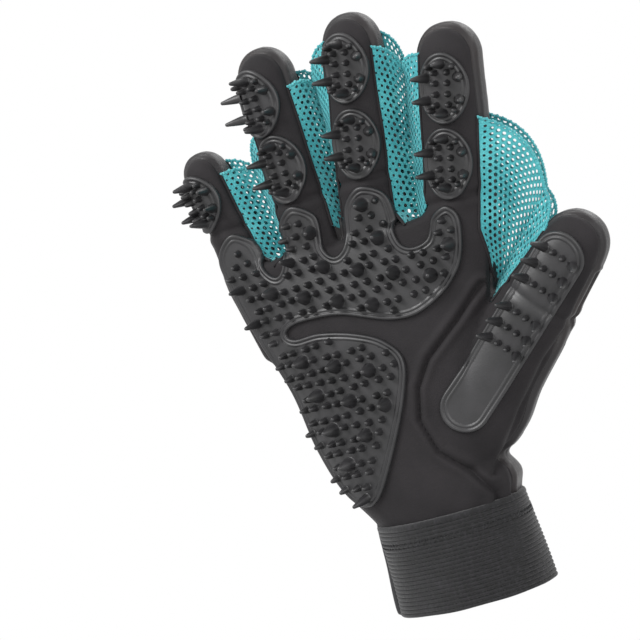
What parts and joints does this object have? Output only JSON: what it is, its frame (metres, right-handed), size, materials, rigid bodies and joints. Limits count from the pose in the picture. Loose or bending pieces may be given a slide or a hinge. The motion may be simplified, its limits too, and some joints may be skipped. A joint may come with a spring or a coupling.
{
  "type": "grooming glove",
  "caption": "Five-finger grooming glove with rubber-coned palm and finger pads, mesh finger webs, elastic cuff and hook-and-loop wrist strap.",
  "frame": {"origin": "centre of the wrist opening, at the hem of the cuff", "axes": "+Z from the wrist opening to the fingertips, -Y out of the palm, +Y out of the back of the hand, +X to the thumb"},
  "size_m": [0.1788, 0.0581, 0.2442],
  "materials": {
    "fabric_front": "dark grey soft-touch knit laminate",
    "fabric_back": "dark smooth stretch fabric with a soft sheen",
    "rubber_pad": "matt moulded silicone",
    "mesh": "teal open mesh",
    "cuff_elastic": "ribbed elastic",
    "strap_rubber": "satin moulded rubber",
    "loop": "brushed loop",
    "hook": "hook tape",
    "print": "raised print"
  },
  "bodies": {
    "hand": {"back_emblem": "print", "cuff": "cuff_elastic", "cuff_binding": "cuff_elastic", "loop_patch": "loop", "palm_back": "fabric_back", "palm_front": "fabric_front", "palm_pad": "rubber_pad", "strap_anchor": "strap_rubber", "thumb_pad_base": "rubber_pad", "web_root": "mesh"},
    "index": {"index_back": "fabric_back", "index_front": "fabric_front", "index_pad_middle": "rubber_pad", "index_pad_tip": "rubber_pad", "index_web_little_side": "mesh", "index_web_thumb_side": "mesh"},
    "middle": {"middle_back": "fabric_back", "middle_front": "fabric_front", "middle_pad_middle": "rubber_pad", "middle_pad_tip": "rubber_pad", "middle_web_little_side": "mesh", "middle_web_thumb_side": "mesh"},
    "ring": {"ring_back": "fabric_back", "ring_front": "fabric_front", "ring_pad_middle": "rubber_pad", "ring_pad_tip": "rubber_pad", "ring_web_little_side": "mesh", "ring_web_thumb_side": "mesh"},
    "little": {"little_back": "fabric_back", "little_front": "fabric_front", "little_pad_tip": "rubber_pad", "little_web_thumb_side": "mesh"},
    "thumb": {"thumb_back": "fabric_back", "thumb_front": "fabric_front", "thumb_pad_tip": "rubber_pad", "thumb_web_index_side": "mesh"},
    "strap": {"strap_tab": "strap_rubber", "hook_patch": "hook"}
  },
  "joints": [
    {"name": "index_flex", "type": "hinge", "parent": "hand", "child": "index", "pos_m": [0.0454, -0.0116, 0.16], "axis": [1, 0, 0], "range_deg": [0, 45], "stiffness_Nm_per_rad": 0.03},
    {"name": "middle_flex", "type": "hinge", "parent": "hand", "child": "middle", "pos_m": [0.0101, -0.01135, 0.178], "axis": [1, 0, 0], "range_deg": [0, 45], "stiffness_Nm_per_rad": 0.03},
    {"name": "ring_flex", "type": "hinge", "parent": "hand", "child": "ring", "pos_m": [-0.0207, -0.01135, 0.177], "axis": [1, 0, 0], "range_deg": [0, 45], "stiffness_Nm_per_rad": 0.03},
    {"name": "little_flex", "type": "hinge", "parent": "hand", "child": "little", "pos_m": [-0.0573, -0.0095, 0.1735], "axis": [1, 0, 0], "range_deg": [0, 45], "stiffness_Nm_per_rad": 0.03},
    {"name": "thumb_flex", "type": "hinge", "parent": "hand", "child": "thumb", "pos_m": [0.06705, -0.0129, 0.11164], "axis": [0.6615, 0, -0.75], "range_deg": [0, 40], "stiffness_Nm_per_rad": 0.03},
    {"name": "strap_peel", "type": "hinge", "parent": "hand", "child": "strap", "pos_m": [-0.032, 0.0109, 0.0185], "axis": [0, 0, 1], "range_deg": [0, 120], "stiffness_Nm_per_rad": 0.02}
  ]
}
